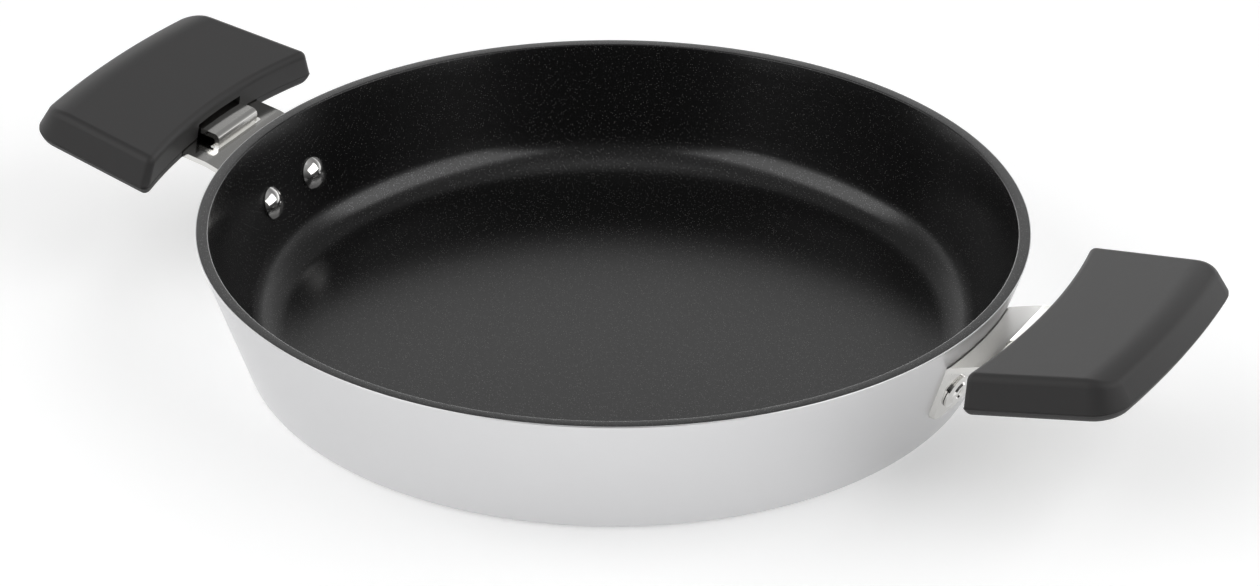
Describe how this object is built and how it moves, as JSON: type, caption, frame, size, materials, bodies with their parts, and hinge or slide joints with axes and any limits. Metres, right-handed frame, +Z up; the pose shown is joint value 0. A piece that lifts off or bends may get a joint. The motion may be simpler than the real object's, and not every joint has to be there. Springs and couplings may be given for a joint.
{
  "type": "frying pan",
  "caption": "Shallow round frying pan with a leaning aluminium wall, dark non-stick lining, a steel base disc and removable side grips held by sprung latches.",
  "frame": {"origin": "centre of the underside, on the pan's axis, where it stands", "axes": "+Z up along the pan's axis, +X out through the right grip"},
  "size_m": [0.426, 0.289, 0.0616],
  "materials": {
    "cast_aluminium": "fine-turned, satin",
    "nonstick_lining": "black non-stick with fine pale specks, satin",
    "base_steel": "turned",
    "bracket_steel": "polished sheet",
    "rivet_steel": "polished",
    "latch_steel": "polished sheet",
    "screw_steel": "plain",
    "spring_steel": "plain wire",
    "grip_phenolic": "matt moulded, fine grain",
    "button_nylon": "matt moulded"
  },
  "bodies": {
    "pan": {"pan_body": "cast_aluminium", "nonstick_coating": "nonstick_lining", "induction_disc": "base_steel", "right_bracket": "bracket_steel", "right_rivet_a": "rivet_steel", "right_rivet_b": "rivet_steel", "right_latch_pin": "screw_steel", "right_latch_spring": "spring_steel", "right_grip_screws": "screw_steel", "right_grip_upper": "grip_phenolic", "right_grip_lower": "grip_phenolic", "left_bracket": "bracket_steel", "left_rivet_a": "rivet_steel", "left_rivet_b": "rivet_steel", "left_latch_pin": "screw_steel", "left_latch_spring": "spring_steel", "left_grip_screws": "screw_steel", "left_grip_upper": "grip_phenolic", "left_grip_lower": "grip_phenolic"},
    "right_latch_body": {"right_latch": "latch_steel"},
    "right_button_body": {"right_release_button": "button_nylon"},
    "left_latch_body": {"left_latch": "latch_steel"},
    "left_button_body": {"left_release_button": "button_nylon"}
  },
  "joints": [
    {"name": "right_latch_hinge", "type": "hinge", "parent": "pan", "child": "right_latch_body", "pos_m": [0.19454, 0, 0.05503], "axis": [0, 1, 0], "range_deg": [0, 2.6], "stiffness_Nm_per_rad": 0.24, "springref_deg": -8.59, "deforming": ["right_latch_spring"]},
    {"name": "right_button_press", "type": "slide", "parent": "pan", "child": "right_button_body", "axis": [-0.1736, 0, 0.9848], "range_m": [0, 0.00093]},
    {"name": "left_latch_hinge", "type": "hinge", "parent": "pan", "child": "left_latch_body", "pos_m": [-0.19454, 0, 0.05503], "axis": [0, -1, 0], "range_deg": [0, 2.6], "stiffness_Nm_per_rad": 0.24, "springref_deg": -8.59, "deforming": ["left_latch_spring"]},
    {"name": "left_button_press", "type": "slide", "parent": "pan", "child": "left_button_body", "axis": [0.1736, 0, 0.9848], "range_m": [0, 0.00093]}
  ],
  "couplings": [
    {"joint": "right_button_press", "follows": "right_latch_hinge", "m_per_rad": 0.02},
    {"joint": "left_button_press", "follows": "left_latch_hinge", "m_per_rad": 0.02}
  ]
}
